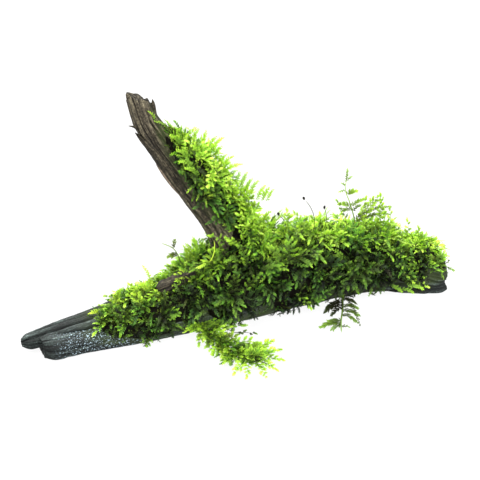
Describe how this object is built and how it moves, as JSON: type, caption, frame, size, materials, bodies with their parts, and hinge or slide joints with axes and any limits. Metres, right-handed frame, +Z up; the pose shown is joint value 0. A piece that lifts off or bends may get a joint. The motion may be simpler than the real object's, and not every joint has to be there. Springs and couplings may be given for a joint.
{
  "type": "java moss on driftwood",
  "caption": "Forked piece of dark driftwood, lying on its flat underside, overgrown with cushions and trailing shoots of java moss.",
  "frame": {"origin": "middle of the whole object's bounding box, on the plane that the log rests on", "axes": "+X along the log towards its blunt end, -Y towards the moss's full side with the trailing shoots, +Z up"},
  "size_m": [0.2284, 0.0938, 0.1221],
  "materials": {
    "driftwood": "wet, weathered grain",
    "java_moss": "soft leafy moss",
    "young_shoots": "thin leafy shoots"
  },
  "bodies": {
    "root": {"main_log": "driftwood", "upper_prong": "driftwood", "upright_branch": "driftwood", "moss_left_clump": "java_moss", "moss_fork_clump": "java_moss", "moss_right_clump": "java_moss", "moss_end_clump": "java_moss", "moss_branch_clump": "java_moss", "trailing_tuft": "java_moss", "trailing_sprig": "young_shoots", "tall_sprig": "young_shoots", "end_sprig": "young_shoots", "left_sprig": "young_shoots"}
  },
  "joints": []
}
